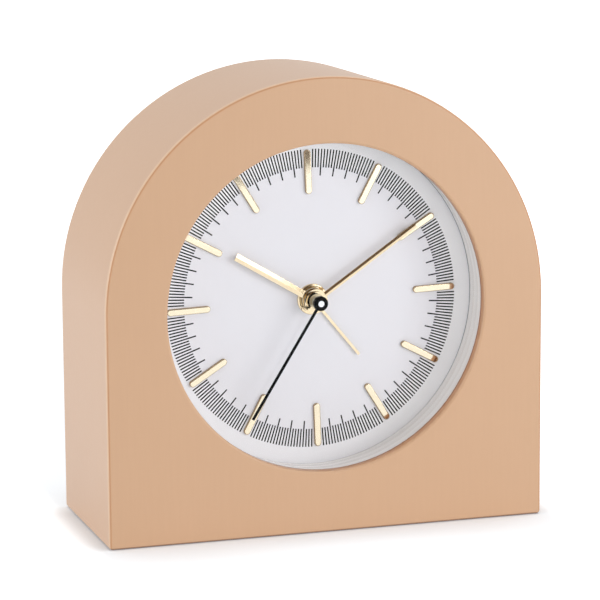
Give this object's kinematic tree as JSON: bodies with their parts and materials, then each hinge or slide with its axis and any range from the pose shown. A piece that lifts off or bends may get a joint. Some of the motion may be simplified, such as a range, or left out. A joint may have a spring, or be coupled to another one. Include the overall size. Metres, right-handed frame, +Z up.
{
  "type": "table clock",
  "caption": "Arch-topped painted wooden table clock with a recessed round dial, gold batons and hands, an alarm, and a black back cup with setting knobs.",
  "frame": {"origin": "centre of the flat base, on the surface the clock stands on, midway between front and back", "axes": "+Z up, -Y out of the dial towards the reader, +X to the right as seen from the front"},
  "size_m": [0.12, 0.05, 0.121],
  "materials": {
    "body_paint": "satin peach paint over board, very fine orange peel",
    "clear_glass": "clear flat glass",
    "white_wall": "glossy off-white moulding",
    "dial_face": "matt cool white dial with a black minute track",
    "gold_baton": "pale polished gold",
    "gold_hand": "pale satin gold",
    "black_hand": "satin black",
    "bright_pin": "bright turned steel",
    "black_moulding": "fine sparked black",
    "control_moulding": "satin black",
    "movement_moulding": "plain dark grey",
    "gear_moulding": "natural acetal",
    "turned_brass": "plain turned brass",
    "bright_steel": "bright steel",
    "copper_wire": "enamelled copper, wound",
    "board_green": "green laminate",
    "chip_black": "black resin",
    "battery_sleeve": "plain dark sleeve"
  },
  "bodies": {
    "clock_case": {"case_body": "body_paint", "front_lens": "clear_glass", "spacer_ring": "white_wall", "dial_plate": "dial_face", "hour_marker_01": "gold_baton", "hour_marker_02": "gold_baton", "hour_marker_03": "gold_baton", "hour_marker_04": "gold_baton", "hour_marker_05": "gold_baton", "hour_marker_06": "gold_baton", "hour_marker_07": "gold_baton", "hour_marker_08": "gold_baton", "hour_marker_09": "gold_baton", "hour_marker_10": "gold_baton", "hour_marker_11": "gold_baton", "hour_marker_12": "gold_baton", "back_cup": "black_moulding", "cover_screws": "bright_steel", "movement_front_plate": "movement_moulding", "train_bridge": "movement_moulding", "movement_rear_housing": "movement_moulding", "movement_screws": "bright_steel", "stator": "bright_steel", "coil_core": "bright_steel", "coil_bobbin": "movement_moulding", "coil_winding": "copper_wire", "alarm_contact_spring": "bright_steel", "circuit_board": "board_green", "driver_chip": "chip_black", "quartz_crystal": "bright_steel", "buzzer": "chip_black", "battery": "battery_sleeve", "contact_positive": "bright_steel", "contact_negative": "bright_steel"},
    "minute_work": {"minute_hand": "gold_hand", "cannon_pinion": "turned_brass"},
    "hour_work": {"hour_hand": "gold_hand", "hour_wheel": "gear_moulding"},
    "setting_work": {"motion_wheel": "gear_moulding", "time_knob": "control_moulding"},
    "alarm_work": {"alarm_hand": "gold_hand", "alarm_wheel": "gear_moulding"},
    "alarm_setting_work": {"alarm_setting_pinion": "gear_moulding", "alarm_knob": "control_moulding"},
    "seconds_work": {"second_hand": "black_hand", "second_hand_pin": "bright_pin", "second_wheel": "gear_moulding"},
    "centre_work": {"centre_wheel": "gear_moulding"},
    "third_work": {"third_wheel": "gear_moulding"},
    "intermediate_work": {"intermediate_wheel": "gear_moulding"},
    "rotor_work": {"rotor_pinion": "gear_moulding", "rotor_magnet": "bright_steel"},
    "switch_slider": {"alarm_switch": "control_moulding"},
    "battery_cover": {"battery_door": "control_moulding"}
  },
  "joints": [
    {"name": "minute_turn", "type": "hinge", "parent": "clock_case", "child": "minute_work", "pos_m": [0, -0.015, 0.06025], "axis": [0, 1, 0], "continuous": true},
    {"name": "hour_turn", "type": "hinge", "parent": "clock_case", "child": "hour_work", "pos_m": [0, -0.013, 0.06025], "axis": [0, 1, 0], "continuous": true},
    {"name": "time_knob_turn", "type": "hinge", "parent": "clock_case", "child": "setting_work", "pos_m": [0.00983, 0.014, 0.05852], "axis": [0, 1, 0], "continuous": true},
    {"name": "alarm_turn", "type": "hinge", "parent": "clock_case", "child": "alarm_work", "pos_m": [0, -0.011, 0.06025], "axis": [0, 1, 0], "continuous": true},
    {"name": "alarm_knob_turn", "type": "hinge", "parent": "clock_case", "child": "alarm_setting_work", "pos_m": [-0.00835, 0.014, 0.0544], "axis": [0, 1, 0], "continuous": true},
    {"name": "second_turn", "type": "hinge", "parent": "clock_case", "child": "seconds_work", "pos_m": [0, -0.017, 0.06025], "axis": [0, 1, 0], "continuous": true},
    {"name": "centre_turn", "type": "hinge", "parent": "clock_case", "child": "centre_work", "pos_m": [0, -0.002, 0.06025], "axis": [0, 1, 0], "continuous": true},
    {"name": "third_turn", "type": "hinge", "parent": "clock_case", "child": "third_work", "pos_m": [-0.00779, 0, 0.06475], "axis": [0, 1, 0], "continuous": true},
    {"name": "intermediate_turn", "type": "hinge", "parent": "clock_case", "child": "intermediate_work", "pos_m": [0.0008, 0.002, 0.06936], "axis": [0, 1, 0], "continuous": true},
    {"name": "rotor_turn", "type": "hinge", "parent": "clock_case", "child": "rotor_work", "pos_m": [0.00521, 0.004, 0.07377], "axis": [0, 1, 0], "continuous": true},
    {"name": "alarm_switch_slide", "type": "slide", "parent": "clock_case", "child": "switch_slider", "axis": [1, 0, 0], "range_m": [0, 0.004]},
    {"name": "battery_door_pull", "type": "slide", "parent": "clock_case", "child": "battery_cover", "axis": [0, 1, 0], "range_m": [0, 0.012]}
  ],
  "couplings": [
    {"joint": "hour_turn", "follows": "minute_turn", "ratio": 0.083333},
    {"joint": "time_knob_turn", "follows": "minute_turn", "ratio": -0.33333},
    {"joint": "centre_turn", "follows": "minute_turn", "ratio": 1},
    {"joint": "third_turn", "follows": "minute_turn", "ratio": -8},
    {"joint": "second_turn", "follows": "minute_turn", "ratio": 60},
    {"joint": "intermediate_turn", "follows": "minute_turn", "ratio": -360},
    {"joint": "rotor_turn", "follows": "minute_turn", "ratio": 1800},
    {"joint": "alarm_knob_turn", "follows": "alarm_turn", "ratio": -3}
  ]
}
